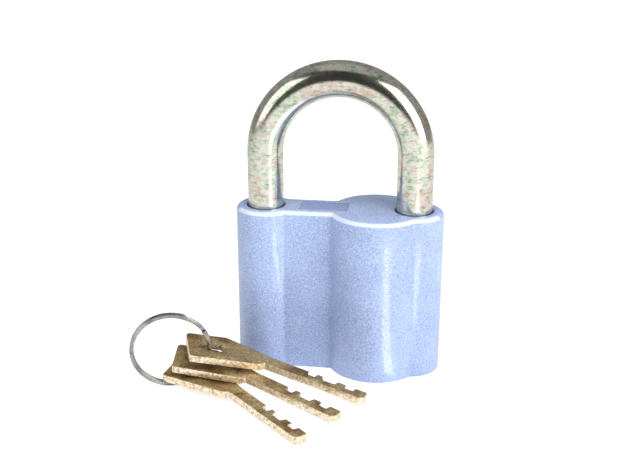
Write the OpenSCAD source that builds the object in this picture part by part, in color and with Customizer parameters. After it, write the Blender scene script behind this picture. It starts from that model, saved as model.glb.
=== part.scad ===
/* [Body] */
// Distance between the axes of the two shackle legs
leg_spacing = 50; // [46:1:64]
// Height of the body
body_h = 57; // [56:1:70]
// Radius of the small lobe round each shackle leg
lobe_r = 10; // [9:0.25:13]
// Radius of the large lobe that holds the lock cylinder
drum_r = 16.25; // [14.5:0.25:20]
// Thickness of the flat web between the lobes
web_t = 14.5; // [13:0.5:19]
// Rounding of the upper edges of the casting
edge_r = 1.6; // [0.5:0.1:2.5]
// Length of the sunken panel on top of the web
panel_l = 16.4; // [8:0.2:18]
// Width of the sunken panel on top of the web
panel_w = 8.4; // [5:0.2:9]
// Depth of the sunken panel
panel_depth = 0.7; // [0.3:0.1:1.2]

/* [Shackle] */
// Diameter of the shackle bar
bar_d = 12; // [10:0.5:13]
// Straight length of the legs above the body when the lock is shut
leg_rise = 18.5; // [12:0.5:40]
// Depth of the short leg in the body
toe_depth = 15; // [14:0.5:16.5]
// Depth of the long leg in the body
heel_depth = 49; // [46:0.5:50]
// Travel of the shackle when the lock is opened
shackle_lift = 18; // [17:0.5:19]
// Diameter of the pin that keeps the long leg in the body
stop_pin_d = 4; // [3:0.25:4.5]

/* [Cylinder] */
// Distance from the short leg's axis to the cylinder's axis
drum_offset = 12.3; // [12.2:0.05:13]
// Radius of the bore for the cylinder
bore_r = 10; // [9.6:0.1:11]
// Wall thickness of the turning sleeve
sleeve_wall = 1.7; // [1.4:0.1:2.2]
// Thickness of one code disc
disc_t = 2.4; // [1.8:0.1:2.45]
// Thickness of the washer between two discs
spacer_t = 0.55; // [0.3:0.05:0.6]
// Thickness of the locking cam
cam_t = 4; // [3:0.25:4.5]
// How far the cam reaches into the short leg
cam_bite = 2.5; // [1.5:0.1:3]
// Diameter of the side bar
side_bar_d = 2.4; // [2:0.1:2.8]

/* [Keys] */
// Thickness of the bow plate
key_t = 2.4; // [1.8:0.1:2.6]
// How much thicker the blade is than the bow
blade_belly = 0.4; // [0.2:0.1:0.5]
// Width of the key's bow
bow_w = 14.6; // [12:0.2:17]
// Angle between the bow and the blade
bow_skew = 25; // [0:1:28]
// Width of the blade
blade_w = 4.6; // [4:0.1:6]
// Distance from the ring slot to the tip
key_reach = 53.8; // [48:0.5:58]
// Length of the slot for the ring
slot_l = 9.5; // [9:0.25:11]
// Width of the slot for the ring
slot_w = 5; // [4.75:0.25:6]
// Depth of the bit cuts
cut_depth = 2; // [1:0.1:2.4]

/* [Ring] */
// Radius of the split ring to the middle of its wire
ring_r = 12.85; // [12.5:0.05:13.2]
// Width of the ring's wire, measured outwards
wire_w = 1.4; // [1:0.1:1.6]
// Thickness of one turn of the wire
wire_t = 0.75; // [0.5:0.05:0.9]

/* [Hidden] */
$fn = 96;
tiny = 0.01;

// Clearances
leg_gap = 0.5;
run_gap = 0.08;
end_gap = 0.3;
part_gap = 0.1;

// Plan of the lock
heel_x = -leg_spacing / 2;
toe_x = leg_spacing / 2;
drum_x = toe_x - drum_offset;
bar_r = bar_d / 2;
leg_hole_r = bar_r + leg_gap;

// Heights, counted from the underside of the body
arch_z = body_h + leg_rise;
toe_end_z = body_h - toe_depth;
heel_end_z = body_h - heel_depth;
snap_z = 0.8;
snap_t = 1.0;
plate_z = snap_z + snap_t + part_gap / 2;
plate_t = 2.2;
sleeve_z = plate_z + plate_t + part_gap;
cam_foot = 4.2;
cam_z = toe_end_z + cam_foot;
sleeve_end_z = toe_end_z - 1;
seat_z = sleeve_end_z + part_gap;
chamber_end_z = cam_z + cam_t + 0.7;

// Cylinder
reach = drum_offset - bar_r;
cam_r = reach + cam_bite;
cam_flat = reach - 0.4;
chamber_r = cam_r + 0.4;
neck_r = reach - 0.8;
tail_r = 3.4;
tail_flat = 2.6;
sleeve_r = bore_r - run_gap;
sleeve_in_r = sleeve_r - sleeve_wall;
disc_r = sleeve_in_r - run_gap;
guard_t = 2.5;
disc_pitch = disc_t + spacer_t + 0.02;
stack_z = sleeve_z + guard_t + part_gap;
disc_count = 10;
stack_end_z = stack_z + disc_count * disc_pitch;
cavity_end_z = stack_end_z + part_gap;
bar_reach_r = sleeve_r - side_bar_d / 2 - 0.1;
open_angle = 90;
lock_turn = 90;
blade_t = key_t + blade_belly;
keyway_l = blade_w + 0.6;
keyway_w = blade_t + 0.6;
plate_r = bore_r + 1.6;
plate_eye_r = 5.2;

// Stop pin and the waist of the long leg
stop_pin_r = stop_pin_d / 2;
stop_x = heel_x + bar_r;
heel_foot = 5.7;
stop_z = heel_end_z + heel_foot + end_gap + shackle_lift + stop_pin_r;
waist_r = bar_r - stop_pin_r - 0.3;
waist_top_z = stop_z + stop_pin_r + end_gap;
waist_low_z = stop_z - stop_pin_r - shackle_lift - end_gap;
groove_end_z = waist_low_z + stop_pin_d + 2 * end_gap;
stop_tip_y = -4;

// Keys lie on each other beside the long leg, tips down, counted from below:
// [x and y from the lobe's edge, air below the plate, heading, dip, roll] of each ring slot
key_rest = [
    [-21.9, -14.3, 2.45, -43.4, 1.95, -1.0],
    [-20.0, -12.8, 3.90, -27.5, 6.15, 0.3],
    [-15.3, -12.4, 6.05, -13.8, 10.95, -0.7]
];
blade_back = 6.7;
blade_v = blade_back - blade_w / 2;
tip_cut = 1.2;
bow_front = 4.8;
bow_back = 9;
bow_near = 16.2;
shoulder_u = 20.5;
bow_corner = 2;
blade_chamfer = 0.7;
cuts = [[12.7, 2.6], [18, 4.4], [26, 2.9]];
ring_lean = -4;
ring_turn = 14.6;
ring_x = heel_x - 28.1;
ring_y = -lobe_r - 17.05;
ring_half = wire_t + 0.1;
ring_z = (ring_r + wire_w / 2) * cos(ring_lean) + ring_half * abs(sin(ring_lean)) + 0.05;

// Round post with a rounded upper edge
module round_post(r, h, e) {
    rotate_extrude()
        difference() {
            union() {
                square([r, h - e]);
                square([r - e, h]);
                translate([r - e, h - e])
                    circle(e);
            }
            translate([-2 * r, -tiny])
                square([2 * r, h + 1]);
        }
}

// Profile of the flat web, with rounded upper edges
module web_block(len, t, h, e) {
    rotate([90, 0, 90])
        linear_extrude(len)
            union() {
                translate([-t / 2, 0])
                    square([t, h - e]);
                translate([-t / 2 + e, 0])
                    square([t - 2 * e, h]);
                for (side = [-1, 1])
                    translate([side * (t / 2 - e), h - e])
                        circle(e);
            }
}

// Upright bore at x, from z0 to z1
module bore(x, r, z0, z1) {
    translate([x, 0, z0])
        cylinder(r = r, h = z1 - z0);
}

module panel() {
    translate([heel_x + lobe_r + 1.6, -panel_w / 2, body_h - panel_depth])
        cube([panel_l, panel_w, panel_depth + 1]);
}

module body() {
    color("#8d90bd")
        difference() {
            union() {
                translate([heel_x, 0, 0])
                    round_post(lobe_r, body_h, edge_r);
                translate([toe_x, 0, 0])
                    round_post(lobe_r, body_h, edge_r);
                translate([drum_x, 0, 0])
                    round_post(drum_r, body_h, edge_r);
                translate([heel_x, 0, 0])
                    web_block(drum_x - heel_x, web_t, body_h, edge_r);
            }
            bore(heel_x, leg_hole_r, heel_end_z - end_gap, body_h + 1);
            bore(toe_x, leg_hole_r, toe_end_z - end_gap, body_h + 1);
            bore(drum_x, bore_r, -1, seat_z);
            bore(drum_x, chamber_r, seat_z - 1, chamber_end_z);
            bore(drum_x, plate_r, -1, plate_z + plate_t);
            bore(drum_x, plate_r + 0.7, snap_z, snap_z + snap_t);
            side_bar_groove();
            stop_pin_hole();
            panel();
        }
}

// Groove that the side bar drops into when the lock is shut
module side_bar_groove() {
    translate([drum_x, 0, 0])
        rotate(open_angle + lock_turn)
            translate([bore_r, 0, plate_z + plate_t - 1])
                cylinder(d = side_bar_d + 0.4, h = stack_end_z - plate_z - plate_t + 2);
}

module stop_pin_hole() {
    translate([stop_x, stop_tip_y - end_gap, stop_z])
        rotate([-90, 0, 0])
            cylinder(r = stop_pin_r + 0.02, h = drum_r);
}

module shackle() {
    color("#c8c7b2")
        difference() {
            union() {
                translate([0, 0, arch_z])
                    rotate([90, 0, 0])
                        rotate_extrude(angle = 180)
                            translate([leg_spacing / 2, 0])
                                circle(bar_r);
                shackle_leg(heel_x, heel_end_z);
                shackle_leg(toe_x, toe_end_z);
            }
            translate([drum_x, 0, cam_z - end_gap])
                cylinder(r = cam_r + end_gap, h = cam_t + 2 * end_gap);
            heel_waist();
        }
}

// Straight leg with a chamfered end
module shackle_leg(x, z0) {
    chamfer = 1;
    translate([x, 0, z0])
        rotate_extrude()
            polygon([
                [0, 0], [bar_r - chamfer, 0], [bar_r, chamfer],
                [bar_r, arch_z - z0], [0, arch_z - z0]
            ]);
}

// Flat that slides past the stop pin, and the turned groove at its lower end
module heel_waist() {
    translate([heel_x + waist_r, -bar_r - 1, waist_low_z])
        cube([bar_r, 2 * bar_r + 2, waist_top_z - waist_low_z]);
    translate([heel_x, 0, waist_low_z])
        difference() {
            cylinder(r = bar_r + 1, h = groove_end_z - waist_low_z);
            translate([0, 0, -1])
                cylinder(r = waist_r, h = groove_end_z - waist_low_z + 2);
        }
}

module shackle_stop_pin() {
    back_y = web_t / 2 - 0.3;
    color("silver")
        translate([stop_x, stop_tip_y, stop_z])
            rotate([-90, 0, 0])
                cylinder(r = stop_pin_r, h = back_y - stop_tip_y);
}

module cylinder_sleeve() {
    color("#b49b52")
        translate([drum_x, 0, 0])
            difference() {
                union() {
                    translate([0, 0, sleeve_z])
                        cylinder(r = sleeve_r, h = sleeve_end_z - sleeve_z);
                    cylinder_neck();
                    cam_tail(tail_r, tail_flat);
                }
                translate([0, 0, sleeve_z - 1])
                    cylinder(r = sleeve_in_r, h = cavity_end_z - sleeve_z + 1);
                side_bar_slot();
            }
}

module cylinder_neck() {
    translate([0, 0, sleeve_end_z - 1])
        cylinder(r = neck_r, h = cam_z - sleeve_end_z + 1);
}

// Tail with two flats that drives the cam
module cam_tail(r, flat) {
    translate([0, 0, cam_z - 1])
        intersection() {
            cylinder(r = r, h = cam_t + 1);
            translate([-r, -flat, 0])
                cube([2 * r, 2 * flat, cam_t + 1]);
        }
}

module side_bar_slot() {
    width = side_bar_d + 2 * run_gap;
    rotate(open_angle)
        translate([sleeve_in_r - 1, -width / 2, stack_z - part_gap])
            cube([sleeve_wall + 3, width, stack_end_z - stack_z + 2 * part_gap]);
}

// The flat faces the short leg while the lock is open
module locking_cam() {
    color("#7d7f82")
        translate([drum_x, 0, 0])
            difference() {
                translate([0, 0, cam_z])
                    cylinder(r = cam_r, h = cam_t);
                translate([cam_flat, -cam_r - 1, cam_z - 1])
                    cube([cam_r, 2 * cam_r + 2, cam_t + 2]);
                translate([0, 0, part_gap])
                    cam_tail(tail_r + 0.02, tail_flat + 0.02);
            }
}

// Slot for the key, turned by an angle
module keyway(angle, z0, h) {
    rotate(angle)
        translate([-keyway_l / 2, -keyway_w / 2, z0])
            cube([keyway_l, keyway_w, h]);
}

// Code disc number i, whose keyway stands at its own angle when the gates line up
module code_disc(i) {
    code = [0, 54, 18, 72, 36, 0, 54, 36, 72, 18];
    z0 = stack_z + (i - 1) * disc_pitch;
    color(i % 2 == 0 ? "#b8a15a" : "#a8924e")
        translate([drum_x, 0, 0])
            difference() {
                translate([0, 0, z0])
                    cylinder(r = disc_r, h = disc_t);
                keyway(open_angle + code[i - 1], z0 - 1, disc_t + 2);
                rotate(open_angle)
                    translate([bar_reach_r, 0, z0 - 1])
                        cylinder(d = side_bar_d + 0.3, h = disc_t + 2);
            }
}

module disc_spacers() {
    color("#9a9b9c")
        translate([drum_x, 0, 0])
            for (i = [1:disc_count])
                translate([0, 0, stack_z + (i - 1) * disc_pitch + disc_t + 0.01])
                    difference() {
                        cylinder(r = disc_r, h = spacer_t);
                        translate([0, 0, -1])
                            cylinder(r = keyway_l / 2 + 0.6, h = spacer_t + 2);
                        rotate(open_angle)
                            translate([bar_reach_r, 0, -1])
                                cylinder(d = side_bar_d + 0.3, h = spacer_t + 2);
                    }
}

module guard_disc() {
    color("#6d6f73")
        translate([drum_x, 0, 0])
            difference() {
                translate([0, 0, sleeve_z])
                    cylinder(r = disc_r, h = guard_t);
                keyway(open_angle, sleeve_z - 1, guard_t + 2);
            }
}

module side_bar() {
    color("#8b8d90")
        translate([drum_x, 0, 0])
            rotate(open_angle)
                translate([bar_reach_r, 0, stack_z])
                    cylinder(d = side_bar_d, h = stack_end_z - stack_z);
}

module keyway_plate() {
    color("#85878a")
        translate([drum_x, 0, plate_z])
            difference() {
                cylinder(r = plate_r - 0.02, h = plate_t - 0.02);
                translate([0, 0, -1])
                    cylinder(r = plate_eye_r, h = plate_t + 2);
            }
}

// Open spring ring in its groove, with the gap at the front
module snap_ring() {
    groove_r = plate_r + 0.7;
    color("#5f6164")
        translate([drum_x, 0, snap_z + 0.02])
            difference() {
                cylinder(r = groove_r - 0.1, h = snap_t - 0.04);
                translate([0, 0, -1])
                    cylinder(r = plate_r - 1.3, h = snap_t + 2);
                translate([-2, -groove_r - 1, -1])
                    cube([4, groove_r, snap_t + 2]);
            }
}

// Point of the bow, turned into the frame of the blade
function turned(p) = [
    p.x * cos(bow_skew) - p.y * sin(bow_skew),
    p.x * sin(bow_skew) + p.y * cos(bow_skew)
];

// Plan of the bow with its sloping shoulder, slot at the origin
module bow_outline() {
    half = bow_w / 2;
    difference() {
        polygon([
            turned([-bow_back, half - 1]), turned([-bow_back + 1, half]), turned([bow_front, half]),
            [shoulder_u, blade_back], [shoulder_u, blade_back - blade_w], [shoulder_u - 1.6, blade_back - blade_w],
            turned([bow_near, -half]), turned([-bow_back + bow_corner, -half])
        ]);
        rotate(bow_skew)
            ring_slot();
    }
}

module ring_slot() {
    straight = slot_l - slot_w;
    square([straight, slot_w], center = true);
    for (side = [-1, 1])
        translate([side * straight / 2, 0])
            circle(slot_w / 2);
}

// Blade along X, flat above and chamfered below
module blade() {
    half = blade_w / 2;
    low = key_t / 2 - blade_t;
    translate([shoulder_u - 1, blade_v, 0])
        rotate([90, 0, 90])
            linear_extrude(key_reach - shoulder_u + 1)
                polygon([
                    [-half, key_t / 2], [-half, low + blade_chamfer], [-half + blade_chamfer, low],
                    [half - blade_chamfer, low], [half, low + blade_chamfer], [half, key_t / 2]
                ]);
}

module bit_cuts() {
    for (cut = cuts)
        translate([shoulder_u + cut[0], blade_back - cut_depth, -blade_t])
            cube([cut[1], cut_depth + 1, 2 * blade_t]);
}

// Corner cut off the blade's tip on its plain side
module tip_corner() {
    translate([key_reach, blade_back - blade_w, 0])
        rotate(45)
            cube([tip_cut * sqrt(2), tip_cut * sqrt(2), 3 * blade_t], center = true);
}

// Key number i lying in its place
module key(i) {
    rest = key_rest[i - 1];
    color(["#8f7f45", "#97864a", "#9c8a4e"][i - 1])
        translate([heel_x + rest[0], -lobe_r + rest[1], rest[2] + (i - 0.5) * key_t])
            rotate([rest[5], rest[4], rest[3]])
                difference() {
                    union() {
                        translate([0, 0, -key_t / 2])
                            linear_extrude(key_t)
                                bow_outline();
                        blade();
                    }
                    bit_cuts();
                    tip_corner();
                }
}

// Two turns of flat wire, leaning through the slots of the keys
module key_ring() {
    color("#a9abad")
        translate([ring_x, ring_y, ring_z])
            rotate([90 - ring_lean, 0, ring_turn])
                rotate_extrude()
                    translate([ring_r - wire_w / 2, -ring_half])
                        square([wire_w, 2 * ring_half]);
}

body();
shackle();
shackle_stop_pin();
cylinder_sleeve();
locking_cam();
code_disc(1);  // code_disc_1
code_disc(2);  // code_disc_2
code_disc(3);  // code_disc_3
code_disc(4);  // code_disc_4
code_disc(5);  // code_disc_5
code_disc(6);  // code_disc_6
code_disc(7);  // code_disc_7
code_disc(8);  // code_disc_8
code_disc(9);  // code_disc_9
code_disc(10);  // code_disc_10
disc_spacers();
guard_disc();
side_bar();
keyway_plate();
snap_ring();
key_ring();
key(1);  // key_1
key(2);  // key_2
key(3);  // key_3
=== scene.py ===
import math
from math import atan2, cos, pi, radians, sin, sqrt

import bmesh
import bpy
from mathutils import Euler, Matrix, Vector


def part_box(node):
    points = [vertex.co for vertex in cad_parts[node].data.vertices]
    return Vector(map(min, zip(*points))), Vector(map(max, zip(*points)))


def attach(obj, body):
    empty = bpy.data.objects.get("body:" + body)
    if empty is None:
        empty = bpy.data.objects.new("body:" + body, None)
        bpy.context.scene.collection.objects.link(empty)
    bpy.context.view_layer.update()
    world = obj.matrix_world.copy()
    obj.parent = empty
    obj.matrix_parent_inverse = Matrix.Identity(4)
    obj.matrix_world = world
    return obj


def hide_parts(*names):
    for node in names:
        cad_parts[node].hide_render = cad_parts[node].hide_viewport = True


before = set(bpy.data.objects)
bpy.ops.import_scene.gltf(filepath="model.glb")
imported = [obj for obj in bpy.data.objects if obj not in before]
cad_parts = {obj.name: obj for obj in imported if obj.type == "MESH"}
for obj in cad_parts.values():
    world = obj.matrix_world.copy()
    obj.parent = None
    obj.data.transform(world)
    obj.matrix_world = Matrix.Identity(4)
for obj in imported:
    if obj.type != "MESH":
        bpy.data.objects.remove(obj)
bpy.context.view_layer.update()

bpy.ops.object.select_all(action="DESELECT")
bpy.context.view_layer.objects.active = None
mm = 0.001

# Camera: a short telephoto that looks down on the lock from the front, a little from the right.
aim = Vector((-8.5, 0, 46.1)) * mm
camera_distance = 369.5 * mm
camera_pitch = radians(20.44)
camera_turn = radians(7.7)
camera = bpy.data.objects.new("camera", bpy.data.cameras.new("camera"))
bpy.context.scene.collection.objects.link(camera)
camera.data.sensor_width = 36
camera.data.lens = 62.23
camera.data.clip_start = 0.01
camera.data.clip_end = 20
camera.location = aim + camera_distance * Vector((
    sin(camera_turn) * cos(camera_pitch),
    -cos(camera_turn) * cos(camera_pitch),
    sin(camera_pitch),
))
camera.rotation_euler = (pi / 2 - camera_pitch, 0, camera_turn)
bpy.context.scene.camera = camera
bpy.context.scene.view_settings.view_transform = "Standard"


# Body: one iron casting, a small lobe round each shackle leg and a large one round the lock
# cylinder, with a flat web between. It is cast, its upper edge is ground round, and the leg
# holes and the cylinder's bore are drilled before it is sprayed with hammer-tone enamel.
body_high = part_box("body")[1]
shackle_low, shackle_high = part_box("shackle")
sleeve_low, sleeve_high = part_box("cylinder_sleeve")
plate_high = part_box("keyway_plate")[1]
snap_low, snap_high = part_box("snap_ring")
cam_low, cam_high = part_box("locking_cam")
pin_low, pin_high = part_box("shackle_stop_pin")
body_h = body_high.z
bar_r = shackle_high.y
leg_x = shackle_high.x - bar_r
lobe_r = body_high.x - leg_x
drum_r = body_high.y
drum_x = (sleeve_low.x + sleeve_high.x) / 2
web_half = 7.25 * mm
edge_round = 1.6 * mm
leg_hole_r = bar_r + 0.5 * mm
web_start_fillet = 1.6 * mm
web_end_fillet = 0.35 * mm
toe_fillet = 2.5 * mm
arc_step = radians(2.5)


def pick(piece, kind, wanted):
    """In edit mode, selects the vertices, edges or faces whose middle passes the test."""
    bpy.ops.mesh.select_mode(type=kind)
    bpy.ops.mesh.select_all(action="DESELECT")
    shape = bmesh.from_edit_mesh(piece.data)
    group = {"VERT": shape.verts, "EDGE": shape.edges, "FACE": shape.faces}[kind]
    for item in group:
        if kind == "VERT":
            middle = item.co
        elif kind == "EDGE":
            middle = (item.verts[0].co + item.verts[1].co) / 2
        else:
            middle = item.calc_center_median()
        item.select_set(wanted(item, middle))
    bmesh.update_edit_mesh(piece.data)


def named(name):
    """Gives the object that an operator has just made its name, with its place in its mesh."""
    piece = bpy.context.object
    piece.name = name
    piece.data.name = name
    bpy.ops.object.transform_apply(location=True, rotation=True, scale=True)
    return piece


def make_active(piece):
    bpy.ops.object.select_all(action="DESELECT")
    piece.select_set(True)
    bpy.context.view_layer.objects.active = piece


def finish_with(piece, kind, **settings):
    """Adds a modifier with its settings and applies it."""
    make_active(piece)
    modifier = piece.modifiers.new(kind.lower(), kind)
    for setting, value in settings.items():
        setattr(modifier, setting, value)
    bpy.ops.object.modifier_apply(modifier=modifier.name)


def cut_away(piece, cutter, operation="DIFFERENCE"):
    finish_with(piece, "BOOLEAN", object=cutter, operation=operation, solver="EXACT")
    bpy.data.objects.remove(cutter)


def wall_arc(centre, sweep):
    """Sweeps the selected end of the wall round an upright axis, anticlockwise if sweep is positive."""
    steps = max(2, round(abs(sweep) / arc_step))
    axis = (0, 0, -1) if sweep > 0 else (0, 0, 1)
    bpy.ops.mesh.spin(steps=steps, angle=abs(sweep), center=(*centre, 0), axis=axis)


# The front wall is one upright edge, swept from the left end of the lock to its right end.
bpy.ops.mesh.primitive_plane_add(size=body_h, rotation=(pi / 2, 0, 0))
body = named("cast_body")
bpy.ops.object.mode_set(mode="EDIT")
pick(body, "VERT", lambda item, at: at.x > 0)
bpy.ops.mesh.delete(type="VERT")
bpy.ops.mesh.select_all(action="SELECT")
bpy.ops.transform.translate(value=(body_h / 2 - leg_x - lobe_r, 0, body_h / 2))

start_fillet_x = sqrt((lobe_r + web_start_fillet) ** 2 - (web_half + web_start_fillet) ** 2)
start_angle = atan2(web_half + web_start_fillet, start_fillet_x)
end_fillet_x = sqrt((drum_r + web_end_fillet) ** 2 - (web_half + web_end_fillet) ** 2)
end_angle = atan2(web_half + web_end_fillet, end_fillet_x)
toe_distance = leg_x - drum_x
drum_side = drum_r + toe_fillet
toe_side = lobe_r + toe_fillet
drum_angle = math.acos((drum_side ** 2 + toe_distance ** 2 - toe_side ** 2) / (2 * toe_distance * drum_side))
toe_fillet_at = (drum_x + drum_side * cos(drum_angle), -drum_side * sin(drum_angle))
toe_angle = atan2(-toe_fillet_at[1], leg_x - toe_fillet_at[0])

wall_arc((-leg_x, 0), pi - start_angle)
wall_arc((-leg_x + start_fillet_x, -web_half - web_start_fillet), -(pi / 2 - start_angle))
web_run = drum_x - end_fillet_x + leg_x - start_fillet_x
bpy.ops.mesh.extrude_region_move(TRANSFORM_OT_translate={"value": (web_run, 0, 0)})
wall_arc((drum_x - end_fillet_x, -web_half - web_end_fillet), -(pi / 2 - end_angle))
wall_arc((drum_x, 0), pi - end_angle - drum_angle)
wall_arc(toe_fillet_at, -(pi - drum_angle - toe_angle))
wall_arc((leg_x, 0), pi - toe_angle)
bpy.ops.object.mode_set(mode="OBJECT")
finish_with(body, "MIRROR", use_axis=(False, True, False), merge_threshold=1e-5)

bpy.ops.object.mode_set(mode="EDIT")
bpy.ops.mesh.select_mode(type="EDGE")
bpy.ops.mesh.select_all(action="SELECT")
bpy.ops.mesh.remove_doubles(threshold=1e-6)
for level in (0, body_h):
    pick(body, "EDGE", lambda item, at: abs(at.z - level) < 1e-6)
    bpy.ops.mesh.edge_face_add()
bpy.ops.mesh.select_all(action="SELECT")
bpy.ops.mesh.normals_make_consistent(inside=False)
pick(body, "EDGE", lambda item, at: abs(at.z - body_h) < 1e-6)
bpy.ops.mesh.bevel(offset=edge_round, segments=6, affect="EDGES")
pick(body, "EDGE", lambda item, at: abs(at.z) < 1e-6)
bpy.ops.mesh.bevel(offset=0.4 * mm, segments=2, affect="EDGES")
bpy.ops.object.mode_set(mode="OBJECT")


def drilled(piece, x, y, radius, low, high, axis="Z"):
    """Drills a round hole, upright at x from low to high, or along Y at a height y."""
    place = (x, y, (low + high) / 2) if axis == "Z" else (x, (low + high) / 2, y)
    turn = (0, 0, 0) if axis == "Z" else (pi / 2, 0, 0)
    bpy.ops.mesh.primitive_cylinder_add(
        vertices=96, radius=radius, depth=high - low, location=place, rotation=turn
    )
    cut_away(piece, named("drill"))


above = body_h + 2 * mm
below = -2 * mm
drilled(body, -leg_x, 0, leg_hole_r, shackle_low.z - 0.3 * mm, above)
drilled(body, drum_x, 0, 10 * mm, below, sleeve_low.z + 37 * mm)
drilled(body, drum_x, 0, 9.2 * mm, 20 * mm, cam_high.z + 0.7 * mm)
toe_hole_floor = 41.7 * mm
drilled(body, leg_x, 0, leg_hole_r, toe_hole_floor, above)
drilled(body, drum_x, 0, plate_high.x - drum_x + 0.02 * mm, below, plate_high.z + 0.02 * mm)
drilled(body, drum_x, 0, snap_high.x - drum_x + 0.1 * mm, snap_low.z - 0.02 * mm, snap_high.z + 0.02 * mm)
drilled(body, (pin_low.x + pin_high.x) / 2, (pin_low.z + pin_high.z) / 2, 2.02 * mm, -4.3 * mm, 12 * mm, "Y")

# The sunken panel on top stays bare. Its floor is flat and its corners are rounded.
panel_size = Vector((16.4, 8.4, 3)) * mm
panel_depth = 0.7 * mm
panel_x = -leg_x + lobe_r + 1.6 * mm + panel_size.x / 2
bpy.ops.mesh.primitive_cube_add(
    size=1, location=(panel_x, 0, body_h - panel_depth + panel_size.z / 2), scale=panel_size
)
panel = named("panel_cutter")
finish_with(panel, "BEVEL", width=0.5 * mm, segments=3)
cut_away(body, panel)

make_active(body)
bpy.ops.object.mode_set(mode="EDIT")
for x in (-leg_x, leg_x):
    pick(body, "EDGE", lambda item, at: abs(at.z - body_h) < 1e-5
         and abs(Vector((at.x - x, at.y)).length - leg_hole_r) < 0.1 * mm)
    bpy.ops.mesh.bevel(offset=0.35 * mm, segments=2, affect="EDGES")
bpy.ops.object.mode_set(mode="OBJECT")
bpy.ops.object.shade_smooth_by_angle(angle=radians(32))


def paint(code):
    """An sRGB hex colour as the linear RGBA that a shader socket takes."""
    parts = [int(code[i:i + 2], 16) / 255 for i in (0, 2, 4)]
    return [c / 12.92 if c <= 0.04045 else ((c + 0.055) / 1.055) ** 2.4 for c in parts] + [1]


def add_node(tree, kind, inputs=None, **settings):
    """Adds a node, sets its settings, and fills each input with a value or a link."""
    made = tree.nodes.new("ShaderNode" + kind)
    for setting, value in settings.items():
        setattr(made, setting, value)
    for socket, value in (inputs or {}).items():
        if isinstance(value, bpy.types.NodeSocket):
            tree.links.new(value, made.inputs[socket])
        else:
            made.inputs[socket].default_value = value
    return made


def new_material(name):
    """A material with no nodes yet, and its node tree."""
    material = bpy.data.materials.new(name)
    material.use_nodes = True
    material.node_tree.nodes.clear()
    return material, material.node_tree


def close_material(tree, shader):
    output = add_node(tree, "OutputMaterial")
    tree.links.new(shader, output.inputs["Surface"])


def ramp(tree, factor, stops):
    """A colour ramp from (position, hex colour) pairs."""
    made = add_node(tree, "ValToRGB", {"Fac": factor})
    line = made.color_ramp.elements
    while len(line) < len(stops):
        line.new(0.5)
    for element, (position, code) in zip(line, stops):
        element.position = position
        element.color = paint(code)
    return made.outputs["Color"]


def wear(piece, *materials):
    piece.data.materials.clear()
    for material in materials:
        piece.data.materials.append(material)


# Hammer-tone enamel, sprayed: a lilac ground with fine pale and dark flecks of about half a
# millimetre, a faint orange peel, and a soft gloss that draws a clear stripe down the drum.
fleck_mm = 0.55
peel_mm = 2.2
enamel, tree = new_material("sprayed_enamel")
where = add_node(tree, "TexCoord").outputs["Object"]
flecks = add_node(tree, "TexNoise", {"Vector": where, "Scale": 1 / (fleck_mm * mm), "Detail": 3,
                                     "Roughness": 0.7}).outputs["Fac"]
clouds = add_node(tree, "TexNoise", {"Vector": where, "Scale": 1 / (14 * mm), "Detail": 2}).outputs["Fac"]
peel = add_node(tree, "TexNoise", {"Vector": where, "Scale": 1 / (peel_mm * mm), "Detail": 1}).outputs["Fac"]
speckle = ramp(tree, flecks, [(0.32, "6F82AE"), (0.46, "92A4CD"), (0.56, "A3B6DC"), (0.7, "CCDAF4")])
cloudy = ramp(tree, clouds, [(0.35, "8A9CC8"), (0.65, "A7BCE4")])
ground = add_node(tree, "Mix", {"Factor": 0.3, "A": speckle, "B": cloudy}, data_type="RGBA")
# Painted highlight: sloping faces, mostly the rounded upper edge of the front and back, are painted near
# white (EEF3FC), fading out towards the lobe ends.
facing = add_node(tree, "SeparateXYZ", {0: add_node(tree, "NewGeometry").outputs["True Normal"]})
rising = add_node(tree, "MapRange", {"Value": facing.outputs["Z"], "From Min": 0.12, "From Max": 0.4})
flat = add_node(tree, "MapRange", {"Value": facing.outputs["Z"], "From Min": 0.99, "From Max": 0.9})
across = add_node(tree, "Math", {0: add_node(tree, "SeparateXYZ", {0: where}).outputs["Y"]},
                  operation="ABSOLUTE").outputs["Value"]
outer = add_node(tree, "MapRange", {"Value": across, "From Min": 4.4 * mm, "From Max": 4.9 * mm})
slope = add_node(tree, "Math", {0: rising.outputs["Result"], 1: flat.outputs["Result"]},
                 operation="MULTIPLY").outputs["Value"]
rim = add_node(tree, "Math", {0: slope, 1: outer.outputs["Result"]}, operation="MULTIPLY").outputs["Value"]
# How strongly the painted highlight colour is mixed into the enamel on that edge.
painted_highlight_amount = add_node(tree, "Math", {0: rim, 1: 0.55}, operation="MULTIPLY").outputs["Value"]
painted_rim_highlight = add_node(tree, "Mix", {"Factor": painted_highlight_amount, "A": ground.outputs["Result"], "B": paint("EEF3FC")},
                  data_type="RGBA")
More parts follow.
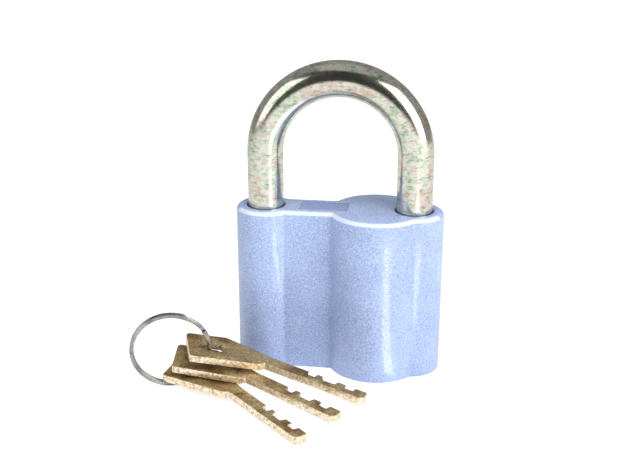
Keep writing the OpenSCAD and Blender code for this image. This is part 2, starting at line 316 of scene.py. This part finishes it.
# The floor of the sunken panel is painted darker, with 5F6A94 mixed in at 0.45.
at_place = add_node(tree, "SeparateXYZ", {0: where})
along = add_node(tree, "Math", {0: at_place.outputs["X"], 1: panel_x, 2: panel_size.x / 2 + 0.3 * mm},
                 operation="COMPARE").outputs["Value"]
sunk = add_node(tree, "Math", {0: at_place.outputs["Z"], 1: body_h - 0.5 * mm, 2: 0.42 * mm},
                operation="COMPARE").outputs["Value"]
inner = add_node(tree, "Math", {0: 1.0, 1: outer.outputs["Result"]}, operation="SUBTRACT").outputs["Value"]
in_panel = add_node(tree, "Math", {0: along, 1: sunk}, operation="MULTIPLY").outputs["Value"]
in_panel = add_node(tree, "Math", {0: in_panel, 1: inner}, operation="MULTIPLY").outputs["Value"]
panel_darkening = add_node(tree, "Math", {0: in_panel, 1: 0.45}, operation="MULTIPLY").outputs["Value"]
panel_darkened = add_node(tree, "Mix", {"Factor": panel_darkening, "A": painted_rim_highlight.outputs["Result"], "B": paint("5F6A94")},
                 data_type="RGBA")
rough = add_node(tree, "MapRange", {"Value": flecks, "To Min": 0.36, "To Max": 0.52}).outputs["Result"]
grain = add_node(tree, "Bump", {"Height": flecks, "Strength": 0.22, "Distance": 0.08 * mm})
skin = add_node(tree, "Bump", {"Height": peel, "Strength": 0.25, "Distance": 0.15 * mm,
                               "Normal": grain.outputs["Normal"]})
coat = add_node(tree, "BsdfPrincipled", {
    "Base Color": panel_darkened.outputs["Result"],
    "Roughness": rough,
    "Coat Weight": 0.5,
    "Coat Roughness": 0.12,
    "Normal": skin.outputs["Normal"],
})
close_material(tree, coat.outputs["BSDF"])
wear(body, enamel)
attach(body, "lock_body")
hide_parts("body")


# Shackle: a round steel bar bent cold to a half circle, with a flat and a turned groove on the
# long leg and a notch in the short leg, zinc plated and passivated yellow.
bend_z = shackle_high.z - bar_r - leg_x
waist_r = 3.7 * mm
bpy.ops.mesh.primitive_circle_add(vertices=64, radius=bar_r, location=(-leg_x, 0, shackle_low.z))
shackle = named("bent_shackle")
bpy.ops.object.mode_set(mode="EDIT")
bpy.ops.mesh.select_all(action="SELECT")


def bar_to(height):
    bpy.ops.mesh.extrude_region_move(TRANSFORM_OT_translate={"value": (0, 0, height)})


for _ in range(4):
    bar_to((bend_z - shackle_low.z) / 4)
bpy.ops.mesh.spin(steps=72, angle=pi, center=(0, 0, bend_z), axis=(0, -1, 0))
toe_end = 42 * mm
for _ in range(3):
    bar_to((toe_end - bend_z) / 3)
bpy.ops.object.mode_set(mode="OBJECT")
finish_with(shackle, "WELD", merge_threshold=1e-6)
bpy.ops.object.mode_set(mode="EDIT")
for x, level in ((-leg_x, shackle_low.z), (leg_x, toe_end)):
    pick(shackle, "EDGE", lambda item, at: abs(at.z - level) < 1e-5 and abs(at.x - x) < bar_r)
    bpy.ops.mesh.edge_face_add()
bpy.ops.mesh.select_all(action="SELECT")
bpy.ops.mesh.normals_make_consistent(inside=False)
for x, level in ((-leg_x, shackle_low.z), (leg_x, toe_end)):
    pick(shackle, "EDGE", lambda item, at: abs(at.z - level) < 1e-5 and abs(at.x - x) < bar_r)
    bpy.ops.mesh.bevel(offset=1 * mm, segments=2, affect="EDGES")
bpy.ops.object.mode_set(mode="OBJECT")

notch_r = (cam_high.y - cam_low.y) / 2 + 0.3 * mm
cam_t = 4 * mm
end_air = 0.3 * mm
drilled(shackle, drum_x, 0, notch_r, cam_high.z - cam_t - end_air, cam_high.z + end_air)
flat_low = pin_low.z - (leg_x - 7 * mm) - 0.3 * mm
flat_high = pin_high.z + 0.3 * mm
bpy.ops.mesh.primitive_cube_add(
    size=1, location=(-leg_x + waist_r + bar_r, 0, (flat_low + flat_high) / 2),
    scale=(2 * bar_r, 3 * bar_r, flat_high - flat_low),
)
cut_away(shackle, named("flat_cutter"))
groove_high = flat_low + 4.6 * mm
bpy.ops.mesh.primitive_cylinder_add(
    vertices=64, radius=bar_r + 1 * mm, depth=groove_high - flat_low,
    location=(-leg_x, 0, (flat_low + groove_high) / 2),
)
groove = named("groove_cutter")
drilled(groove, -leg_x, 0, waist_r, flat_low - 1 * mm, groove_high + 1 * mm)
cut_away(shackle, groove)
make_active(shackle)
bpy.ops.object.shade_smooth_by_angle(angle=radians(32))

# Zinc plate passivated yellow: a bright, slightly brushed metal whose thin film drifts from
# straw to pale green and pink, with darker streaks across the bar.
zinc, tree = new_material("yellow_passivated_zinc")
where = add_node(tree, "TexCoord").outputs["Object"]
film = add_node(tree, "TexNoise", {"Vector": where, "Scale": 1 / (4.5 * mm), "Detail": 5,
                                   "Roughness": 0.7}).outputs["Fac"]
tint = ramp(tree, film, [(0.32, "9AAC94"), (0.42, "C0C9B4"), (0.5, "D6D8CA"), (0.57, "D0C0B8"),
                         (0.68, "BAB39C")])
squash = add_node(tree, "Mapping", {"Vector": where, "Scale": (0.45, 0.45, 1.3)}).outputs["Vector"]
streaks = add_node(tree, "TexNoise", {"Vector": squash, "Scale": 1 / (1.1 * mm), "Detail": 5,
                                      "Roughness": 0.75}).outputs["Fac"]
dulled = ramp(tree, streaks, [(0.3, "78745C"), (0.5, "FFFFFF")])
stained = add_node(tree, "Mix", {"Factor": 0.75, "A": tint, "B": dulled}, data_type="RGBA",
                   blend_type="MULTIPLY")
rough = add_node(tree, "MapRange", {"Value": streaks, "From Min": 0.3, "From Max": 0.7, "To Min": 0.26,
                                    "To Max": 0.1}).outputs["Result"]
brushed = add_node(tree, "Bump", {"Height": streaks, "Strength": 0.2, "Distance": 0.05 * mm})
metal = add_node(tree, "BsdfPrincipled", {
    "Base Color": stained.outputs["Result"],
    "Metallic": 1.0,
    "Roughness": rough,
    "Normal": brushed.outputs["Normal"],
})
close_material(tree, metal.outputs["BSDF"])
wear(shackle, zinc)
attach(shackle, "shackle")
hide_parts("shackle")


# Keys: three alike, stamped from plate, with a skewed bow, a slot for the ring and a thicker
# blade with a rounded back, cut with broad bits. The flat faces are dull brass, and the side walls
# are painted brighter as a painted highlight. They lie on each other with their tips down.
key_t = 2.4 * mm
bow_half = 7.3 * mm
bow_skew = radians(25)
blade_half = 2.3 * mm
blade_v = 6.7 * mm - blade_half
blade_t = 2.8 * mm
key_reach = 53.8 * mm
tip_cut = 1.2 * mm
shoulder_u = 20.5 * mm
slot_l = 9.5 * mm
slot_w = 5 * mm
cut_depth = 2 * mm
cuts = ((12.7, 2.6), (18.0, 4.4), (26.0, 2.9))
key_rest = (
    ((-46.9, -24.3, 3.65), (-1.0, 1.95, -43.4)),
    ((-45.0, -22.8, 7.50), (0.3, 6.15, -27.5)),
    ((-40.3, -22.4, 12.05), (-0.7, 10.95, -13.8)),
)
bow_plan = [(-9, 6.3), (-8, 7.3), (4.8, 7.3)]
near_plan = [(16.2, -7.3), (-7, -7.3)]


def turned(point):
    u, v = point[0] * mm, point[1] * mm
    return (u * cos(bow_skew) - v * sin(bow_skew), u * sin(bow_skew) + v * cos(bow_skew))


corners = [turned(p) for p in bow_plan]
corners += [(shoulder_u, blade_v + blade_half), (shoulder_u, blade_v - blade_half)]
corners += [(shoulder_u - 1.6 * mm, blade_v - blade_half)]
corners += [turned(p) for p in near_plan]
bpy.ops.mesh.primitive_circle_add(vertices=len(corners), radius=bow_half, fill_type="NGON")
key = named("key_blank")
for vertex, corner in zip(key.data.vertices, corners):
    vertex.co = (*corner, -key_t / 2)
bpy.ops.object.mode_set(mode="EDIT")
bpy.ops.mesh.select_all(action="SELECT")
bpy.ops.mesh.extrude_region_move(TRANSFORM_OT_translate={"value": (0, 0, key_t)})
bpy.ops.mesh.select_all(action="SELECT")
bpy.ops.mesh.normals_make_consistent(inside=False)
end_corners = [Vector(turned(p)) for p in (bow_plan[0], bow_plan[1], near_plan[1])]
pick(key, "EDGE", lambda item, at: abs(at.z) < 1e-6 and min((at.xy - c).length for c in end_corners) < 1e-5)
bpy.ops.mesh.bevel(offset=0.6 * mm, segments=3, affect="EDGES")
bpy.ops.object.mode_set(mode="OBJECT")

blade_l = key_reach - shoulder_u + 1 * mm
bpy.ops.mesh.primitive_cube_add(
    size=1, location=(key_reach - blade_l / 2, blade_v, key_t / 2 - blade_t / 2),
    scale=(blade_l, 2 * blade_half, blade_t),
)
blade = named("blade_blank")
bpy.ops.object.mode_set(mode="EDIT")
under = key_t / 2 - blade_t
pick(blade, "EDGE", lambda item, at: abs(at.z - under) < 1e-6 and abs(at.y - blade_v) > 0.9 * blade_half)
bpy.ops.mesh.bevel(offset=0.8 * mm, segments=4, affect="EDGES")
bpy.ops.object.mode_set(mode="OBJECT")
cut_away(key, blade, "UNION")
bpy.ops.mesh.primitive_cube_add(
    size=1, location=(key_reach, blade_v - blade_half, 0), rotation=(0, 0, pi / 4),
    scale=(sqrt(2) * tip_cut, sqrt(2) * tip_cut, 3 * blade_t),
)
cut_away(key, named("tip_cutter"))

bpy.ops.mesh.primitive_cube_add(size=1, scale=(slot_l, slot_w, 3 * key_t))
slot_cutter = named("slot_cutter")
bpy.ops.object.mode_set(mode="EDIT")
pick(slot_cutter, "EDGE", lambda item, at: abs(at.z) < 1e-6)
bpy.ops.mesh.bevel(offset=0.499 * slot_w, segments=10, affect="EDGES")
bpy.ops.object.mode_set(mode="OBJECT")
slot_cutter.data.transform(Matrix.Rotation(bow_skew, 4, "Z"))
cut_away(key, slot_cutter)
for start, width in cuts:
    bpy.ops.mesh.primitive_cube_add(
        size=1, location=(shoulder_u + (start + width / 2) * mm, blade_v + blade_half, 0),
        scale=(width * mm, 2 * cut_depth, 3 * blade_t),
    )
    bit = named("bit_cutter")
    bpy.ops.object.mode_set(mode="EDIT")
    pick(bit, "EDGE", lambda item, at: abs(at.z) < 1e-6 and at.y < blade_v + blade_half)
    bpy.ops.mesh.bevel(offset=0.3 * mm, segments=2, affect="EDGES")
    pick(bit, "FACE", lambda item, at: at.y > blade_v + blade_half + 0.9 * cut_depth)
    bpy.ops.transform.resize(value=(1.5, 1, 1))
    bpy.ops.object.mode_set(mode="OBJECT")
    cut_away(key, bit)
finish_with(key, "BEVEL", width=0.16 * mm, segments=2, limit_method="ANGLE", angle_limit=radians(40))
make_active(key)
bpy.ops.object.shade_smooth_by_angle(angle=radians(35))

# Dull olive brass on the stamped faces, with a pebbled grain and brown stains in the lows.
key_face, tree = new_material("tumbled_olive_brass")
where = add_node(tree, "TexCoord").outputs["Object"]
pebble = add_node(tree, "TexNoise", {"Vector": where, "Scale": 1 / (0.7 * mm), "Detail": 4,
                                     "Roughness": 0.7}).outputs["Fac"]
stain = add_node(tree, "TexNoise", {"Vector": where, "Scale": 1 / (7 * mm), "Detail": 3}).outputs["Fac"]
olive = ramp(tree, pebble, [(0.3, "6A5838"), (0.45, "AA9262"), (0.58, "C8AF80"), (0.72, "EBDAB4")])
brown = ramp(tree, stain, [(0.38, "B09478"), (0.55, "FFFFFF")])
aged = add_node(tree, "Mix", {"Factor": 0.8, "A": olive, "B": brown}, data_type="RGBA", blend_type="MULTIPLY")
grain = add_node(tree, "Bump", {"Height": pebble, "Strength": 0.5, "Distance": 0.12 * mm})
metal = add_node(tree, "BsdfPrincipled", {
    "Base Color": aged.outputs["Result"],
    "Metallic": 0.75,
    "Roughness": 0.5,
    "Normal": grain.outputs["Normal"],
})
close_material(tree, metal.outputs["BSDF"])

# The side walls: the same brass, painted brighter and yellower as a painted highlight.
edge_brass_painted_highlight, tree = new_material("brass_edge_painted_highlight")
where = add_node(tree, "TexCoord").outputs["Object"]
drag = add_node(tree, "TexNoise", {"Vector": where, "Scale": 1 / (0.9 * mm), "Detail": 3}).outputs["Fac"]
bright = ramp(tree, drag, [(0.32, "AC9878"), (0.5, "EEDBBA"), (0.68, "FFF6E4")])
grain = add_node(tree, "Bump", {"Height": drag, "Strength": 0.35, "Distance": 0.08 * mm})
metal = add_node(tree, "BsdfPrincipled", {
    "Base Color": bright,
    "Metallic": 0.8,
    "Roughness": 0.36,
    "Normal": grain.outputs["Normal"],
})
close_material(tree, metal.outputs["BSDF"])
wear(key, key_face, edge_brass_painted_highlight)
# Faces that don't face up or down get the brighter brass, a painted highlight.
for face in key.data.polygons:
    face.material_index = 0 if abs(face.normal.z) > 0.75 else 1

for number, (place, angles) in enumerate(key_rest, start=1):
    lying = key.copy()
    lying.data = key.data.copy()
    lying.name = f"cut_key_{number}"
    lying.data.name = lying.name
    bpy.context.scene.collection.objects.link(lying)
    tilt = Euler([radians(a) for a in angles], "XYZ").to_matrix().to_4x4()
    lying.data.transform(Matrix.Translation(Vector(place) * mm) @ tilt)
    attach(lying, f"key_{number}")
    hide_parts(f"key_{number}")
bpy.data.objects.remove(key)


# Split ring: two turns of flat spring wire side by side, with a short jog where the wire
# crosses from one turn to the other between its two cut ends. Bright nickel plate.
ring_low, ring_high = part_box("key_ring")
ring_r = 12.85 * mm
wire_w = 1.4 * mm
wire_t = 0.75 * mm
turn_offset = 0.45 * mm
ring_turn = radians(14.6)
ring_lean = radians(-4)
jog_at = 48
jog = 36
jog_steps = 9
bpy.ops.mesh.primitive_plane_add(size=1, location=(ring_r, 0, -turn_offset), rotation=(pi / 2, 0, 0))
bpy.context.object.scale = (wire_w, wire_t, 1)
ring = named("two_turn_ring")
bpy.ops.object.mode_set(mode="EDIT")
bpy.ops.mesh.select_mode(type="VERT")
bpy.ops.mesh.select_all(action="SELECT")
bpy.ops.mesh.bevel(offset=0.22 * mm, segments=3, affect="VERTICES")
bpy.ops.mesh.delete(type="ONLY_FACE")
bpy.ops.mesh.select_all(action="SELECT")
anticlockwise = (0, 0, -1)
bpy.ops.mesh.spin(steps=108, angle=radians(360 - jog), center=(0, 0, 0), axis=anticlockwise)
for step in range(jog_steps):
    rise = cos(pi * step / jog_steps) - cos(pi * (step + 1) / jog_steps)
    bpy.ops.mesh.spin(steps=1, angle=radians(jog / jog_steps), center=(0, 0, 0), axis=anticlockwise)
    bpy.ops.transform.translate(value=(0, 0, rise * turn_offset))
bpy.ops.mesh.spin(steps=108, angle=radians(360 - jog), center=(0, 0, 0), axis=anticlockwise)
bpy.ops.mesh.select_mode(type="EDGE")
bpy.ops.mesh.select_all(action="DESELECT")
bpy.ops.mesh.select_non_manifold(extend=False, use_wire=True, use_boundary=True, use_multi_face=False)
bpy.ops.mesh.edge_face_add()
bpy.ops.mesh.select_all(action="SELECT")
bpy.ops.mesh.normals_make_consistent(inside=False)
bpy.ops.object.mode_set(mode="OBJECT")
bpy.ops.object.shade_smooth_by_angle(angle=radians(40))
start_turn = Matrix.Rotation(radians(jog_at + jog / 2), 4, "Z")
stand = Euler((pi / 2 - ring_lean, 0, ring_turn), "XYZ").to_matrix().to_4x4()
ring.data.transform(Matrix.Translation((ring_low + ring_high) / 2) @ stand @ start_turn)

nickel, tree = new_material("nickel_plated_wire")
where = add_node(tree, "TexCoord").outputs["Object"]
scuffs = add_node(tree, "TexNoise", {"Vector": where, "Scale": 1 / (4 * mm), "Detail": 2}).outputs["Fac"]
plate_tint = ramp(tree, scuffs, [(0.3, "7E7C78"), (0.7, "BAB9B6")])
rough = add_node(tree, "MapRange", {"Value": scuffs, "To Min": 0.18, "To Max": 0.4}).outputs["Result"]
metal = add_node(tree, "BsdfPrincipled", {
    "Base Color": plate_tint,
    "Metallic": 1.0,
    "Roughness": rough,
})
close_material(tree, metal.outputs["BSDF"])
wear(ring, nickel)
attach(ring, "key_ring")
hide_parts("key_ring")


# Cylinder: turned and pressed pieces inside the drum, seen only through the keyway and the
# leg holes. They keep their own shapes and get their own metals.
def turned_metal(name, dark, light, roughness, ring_mm):
    """Machined metal with fine turning rings round the cylinder's axis."""
    material, tree = new_material(name)
    where = add_node(tree, "TexCoord").outputs["Object"]
    centred = add_node(tree, "Mapping", {"Vector": where, "Location": (-drum_x, 0, 0)}).outputs["Vector"]
    rings = add_node(tree, "TexWave", {"Vector": centred, "Scale": 1 / (ring_mm * mm) / 20,
                                       "Distortion": 1.5, "Detail": 2},
                     wave_type="RINGS", rings_direction="Z").outputs["Fac"]
    blotch = add_node(tree, "TexNoise", {"Vector": where, "Scale": 1 / (2.5 * mm),
                                         "Detail": 4}).outputs["Fac"]
    colour = ramp(tree, blotch, [(0.3, dark), (0.65, light)])
    lines = add_node(tree, "Bump", {"Height": rings, "Strength": 0.2, "Distance": 0.03 * mm})
    metal = add_node(tree, "BsdfPrincipled", {
        "Base Color": colour,
        "Metallic": 1.0,
        "Roughness": roughness,
        "Normal": lines.outputs["Normal"],
    })
    close_material(tree, metal.outputs["BSDF"])
    return material


machined_brass = turned_metal("machined_brass", "A88A45", "D3BB74", 0.32, 0.4)
hardened = turned_metal("hardened_steel", "55565A", "8C8E92", 0.35, 0.4)
zinc_sheet = turned_metal("zinc_plated_sheet", "8E9094", "C2C4C6", 0.38, 0.6)
brass_nodes = ["cylinder_sleeve"] + [f"code_disc_{i}" for i in range(1, 11)]
for node in brass_nodes:
    wear(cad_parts[node], machined_brass)
for node in ("locking_cam", "disc_spacers", "guard_disc", "side_bar", "snap_ring", "shackle_stop_pin"):
    wear(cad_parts[node], hardened)
wear(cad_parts["keyway_plate"], zinc_sheet)


# Table: a plain white sweep under soft studio light. A right-hand softbox gives the drum its
# bright stripe, a weaker left one and a top one fill in, and the room in front stays dim, so
# that the bent bar shows a dark streak.
bpy.ops.mesh.primitive_plane_add(size=6)
floor = named("white_sweep")
sweep_paint, tree = new_material("white_paper")
seen = add_node(tree, "LightPath").outputs["Is Camera Ray"]
part = add_node(tree, "Math", {0: seen, 1: 0.62}, operation="MULTIPLY").outputs["Value"]
paper = add_node(tree, "BsdfDiffuse", {"Color": paint("F4F4F4")}).outputs["BSDF"]
glow = add_node(tree, "Emission", {"Strength": 1.4}).outputs["Emission"]
close_material(tree, add_node(tree, "MixShader", {0: part, 1: paper, 2: glow}).outputs["Shader"])
wear(floor, sweep_paint)

world = bpy.data.worlds.new("studio")
bpy.context.scene.world = world
world.use_nodes = True
tree = world.node_tree
tree.nodes.clear()
direction = add_node(tree, "SeparateXYZ", {0: add_node(tree, "TexCoord").outputs["Generated"]})
behind = add_node(tree, "MapRange", {"Value": direction.outputs["Y"], "From Min": -0.35, "From Max": 0.1,
                                     "To Min": 0.08, "To Max": 0.36}).outputs["Result"]
overhead = add_node(tree, "MapRange", {"Value": direction.outputs["Z"], "From Min": 0.84, "From Max": 0.9,
                                       "To Min": 0.0, "To Max": 0.5}).outputs["Result"]
room = add_node(tree, "Math", {0: behind, 1: overhead}, operation="MAXIMUM").outputs["Value"]
rays = add_node(tree, "LightPath").outputs["Is Camera Ray"]
level = add_node(tree, "Mix", {"Factor": rays, "A": room, "B": 1.0}, data_type="FLOAT").outputs["Result"]
sky = add_node(tree, "Background", {"Color": (1, 1, 1, 1), "Strength": level}).outputs["Background"]
tree.links.new(sky, add_node(tree, "OutputWorld").inputs["Surface"])


def softbox(name, turn, height, distance, size, power):
    """An area light aimed at the lock, turn degrees to the right of the front."""
    light = bpy.data.lights.new(name, "AREA")
    light.shape = "RECTANGLE"
    light.size, light.size_y = size
    light.energy = power
    box = bpy.data.objects.new(name, light)
    bpy.context.scene.collection.objects.link(box)
    turn, height = radians(turn), radians(height)
    back = Vector((sin(turn) * cos(height), -cos(turn) * cos(height), sin(height)))
    box.location = Vector((0, 0, body_h / 2)) + distance * back
    box.rotation_euler = (-back).to_track_quat("-Z", "Y").to_euler()
    return box


softbox("right_softbox", 58, 26, 1.1, (0.8, 1.0), 12)
softbox("left_softbox", -62, 25, 1.2, (0.8, 0.9), 4.5)
front_fill = softbox("front_softbox", 8, 66, 1.1, (1.1, 0.6), 8)
front_fill.visible_glossy = False


def only_reflected(card, strength):
    """Makes a card of even brightness that shows in reflections and nowhere else."""
    surface, tree = new_material(card.name)
    close_material(tree, add_node(tree, "Emission", {"Strength": strength}).outputs["Emission"])
    wear(card, surface)
    card.visible_camera = False
    card.visible_diffuse = False
    card.visible_shadow = False
    card.visible_transmission = False


# A black card beside the camera gives the bar its dark streak, and a bright strip flat on the
# table gives the drum its stripe.
card_turn = radians(11)
bpy.ops.mesh.primitive_plane_add(size=1, rotation=(pi / 2, 0, 0))
bpy.context.object.scale = (0.5, 0.75, 1)
black_card = named("black_card")
black_card.data.transform(Matrix.Rotation(card_turn, 4, "Z") @ Matrix.Translation((0, -0.5, 0.49)))
only_reflected(black_card, 0.05)
bpy.ops.mesh.primitive_plane_add(size=1)
strip = named("bright_strip")
for vertex in strip.data.vertices:
    outer = vertex.co.y < 0
    reach = 0.17 if outer else 19 * mm
    side = 1 if vertex.co.x > 0 else -1
    vertex.co = (side * reach * 0.13, -reach, 0.4 * mm)
strip.data.transform(Matrix.Translation((drum_x, 0, 0)) @ Matrix.Rotation(radians(27), 4, "Z"))
only_reflected(strip, 8.0)
